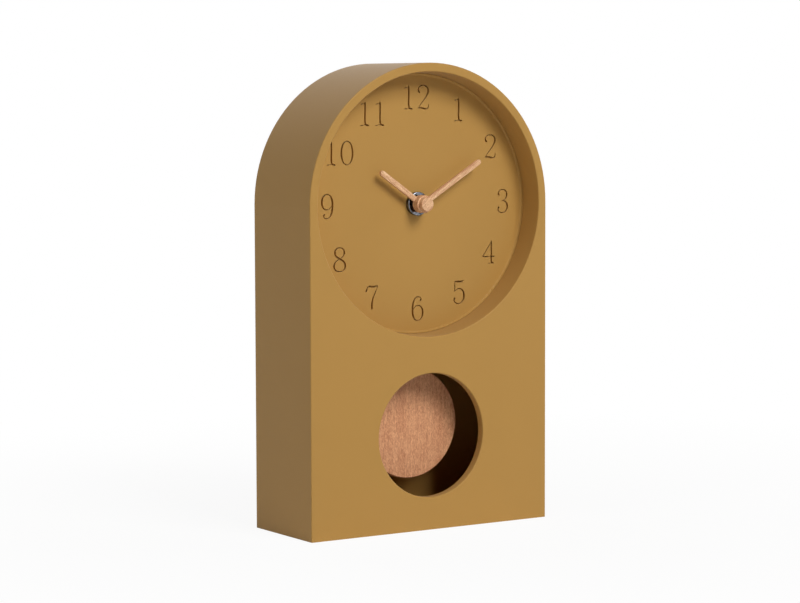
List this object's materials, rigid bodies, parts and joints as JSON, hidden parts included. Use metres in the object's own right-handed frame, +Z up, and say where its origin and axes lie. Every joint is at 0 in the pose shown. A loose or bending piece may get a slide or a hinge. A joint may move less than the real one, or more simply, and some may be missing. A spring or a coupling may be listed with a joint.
{
  "type": "desk pendulum clock",
  "caption": "Arched desk clock with a sunk round dial, a round window over a swinging wooden bob, wooden hands and a battery-driven geared movement.",
  "frame": {"origin": "middle of the base, on the surface that the clock stands on", "axes": "+Z up, -Y towards the viewer of the dial, +X to the viewer's right"},
  "size_m": [0.15, 0.0576, 0.249],
  "materials": {
    "case_plastic": "moulded ABS, satin, ochre",
    "dial_plastic": "moulded ABS, satin, ochre",
    "screw_steel": "zinc-plated steel",
    "nut_chrome": "chromed brass",
    "washer_rubber": "black rubber",
    "housing_plastic": "moulded black ABS",
    "gear_plastic": "white acetal",
    "core_steel": "soft iron sheet",
    "coil_copper": "enamelled copper wire, wound",
    "board_laminate": "phenolic laminate",
    "chip_resin": "black potting resin",
    "contact_steel": "nickel-plated spring steel",
    "magnet_ferrite": "sintered ferrite",
    "rod_steel": "plain steel strip",
    "bob_wood": "light hardwood, oiled",
    "hand_wood": "light hardwood, oiled",
    "battery_sleeve": "plain printed sleeve over a steel can"
  },
  "bodies": {
    "case": {"case_shell": "case_plastic", "dial_plate": "dial_plastic", "back_cover": "case_plastic", "cover_screws": "screw_steel", "dial_screws": "screw_steel", "hand_nut": "nut_chrome", "rubber_washer": "washer_rubber", "movement_front": "housing_plastic", "movement_back": "housing_plastic", "train_plate": "gear_plastic", "stator": "core_steel", "motor_bobbin": "gear_plastic", "motor_winding": "coil_copper", "motor_core": "core_steel", "circuit_board": "board_laminate", "chip": "chip_resin", "crystal_can": "core_steel", "contact_plus": "contact_steel", "contact_minus": "contact_steel", "pivot_pin": "core_steel", "drive_bobbin": "gear_plastic", "drive_winding": "coil_copper", "drive_board": "board_laminate"},
    "pendulum": {"pendulum_lever": "gear_plastic", "lever_magnet": "magnet_ferrite", "pendulum_rod": "rod_steel", "bob": "bob_wood"},
    "minute": {"minute_arbor": "gear_plastic", "minute_collar": "hand_wood", "minute_hand": "hand_wood"},
    "hour": {"hour_wheel": "gear_plastic", "hour_hand": "hand_wood"},
    "reverse": {"reverse_wheel": "gear_plastic"},
    "setting": {"setting_knob": "gear_plastic"},
    "seconds": {"seconds_wheel": "gear_plastic"},
    "third": {"third_wheel": "gear_plastic"},
    "minute_drive": {"minute_wheel": "gear_plastic"},
    "fifth": {"fifth_wheel": "gear_plastic"},
    "rotor": {"rotor_arbor": "gear_plastic", "rotor_magnet": "magnet_ferrite"},
    "battery": {"battery": "battery_sleeve"}
  },
  "joints": [
    {"name": "pendulum_swing", "type": "hinge", "parent": "case", "child": "pendulum", "pos_m": [0, 0, 0.14102], "axis": [0, 1, 0], "range_deg": [-6, 6]},
    {"name": "minute_turn", "type": "hinge", "parent": "case", "child": "minute", "pos_m": [0, 0, 0.174], "axis": [0, 1, 0], "continuous": true},
    {"name": "hour_turn", "type": "hinge", "parent": "case", "child": "hour", "pos_m": [0, 0, 0.174], "axis": [0, 1, 0], "continuous": true},
    {"name": "reverse_turn", "type": "hinge", "parent": "case", "child": "reverse", "pos_m": [-0.00912, 0, 0.174], "axis": [0, 1, 0], "continuous": true},
    {"name": "setting_turn", "type": "hinge", "parent": "case", "child": "setting", "pos_m": [-0.01735, 0, 0.16925], "axis": [0, 1, 0], "continuous": true},
    {"name": "seconds_turn", "type": "hinge", "parent": "case", "child": "seconds", "pos_m": [0, 0, 0.174], "axis": [0, 1, 0], "continuous": true},
    {"name": "third_turn", "type": "hinge", "parent": "case", "child": "third", "pos_m": [-0.00558, 0, 0.18366], "axis": [0, 1, 0], "continuous": true},
    {"name": "minute_wheel_turn", "type": "hinge", "parent": "case", "child": "minute_drive", "pos_m": [0, 0, 0.174], "axis": [0, 1, 0], "continuous": true},
    {"name": "fifth_turn", "type": "hinge", "parent": "case", "child": "fifth", "pos_m": [0.00756, 0, 0.17533], "axis": [0, 1, 0], "continuous": true},
    {"name": "rotor_turn", "type": "hinge", "parent": "case", "child": "rotor", "pos_m": [0.0133, 0, 0.17132], "axis": [0, 1, 0], "continuous": true},
    {"name": "battery_slide", "type": "slide", "parent": "case", "child": "battery", "axis": [0, 1, 0], "range_m": [0, 0.04]}
  ],
  "couplings": [
    {"joint": "hour_turn", "follows": "minute_turn", "ratio": 0.083333},
    {"joint": "reverse_turn", "follows": "minute_turn", "ratio": -0.33333},
    {"joint": "setting_turn", "follows": "minute_turn", "ratio": 0.85714},
    {"joint": "third_turn", "follows": "seconds_turn", "ratio": -0.13333},
    {"joint": "minute_wheel_turn", "follows": "seconds_turn", "ratio": 0.016667},
    {"joint": "fifth_turn", "follows": "seconds_turn", "ratio": -5},
    {"joint": "rotor_turn", "follows": "seconds_turn", "ratio": 30}
  ]
}
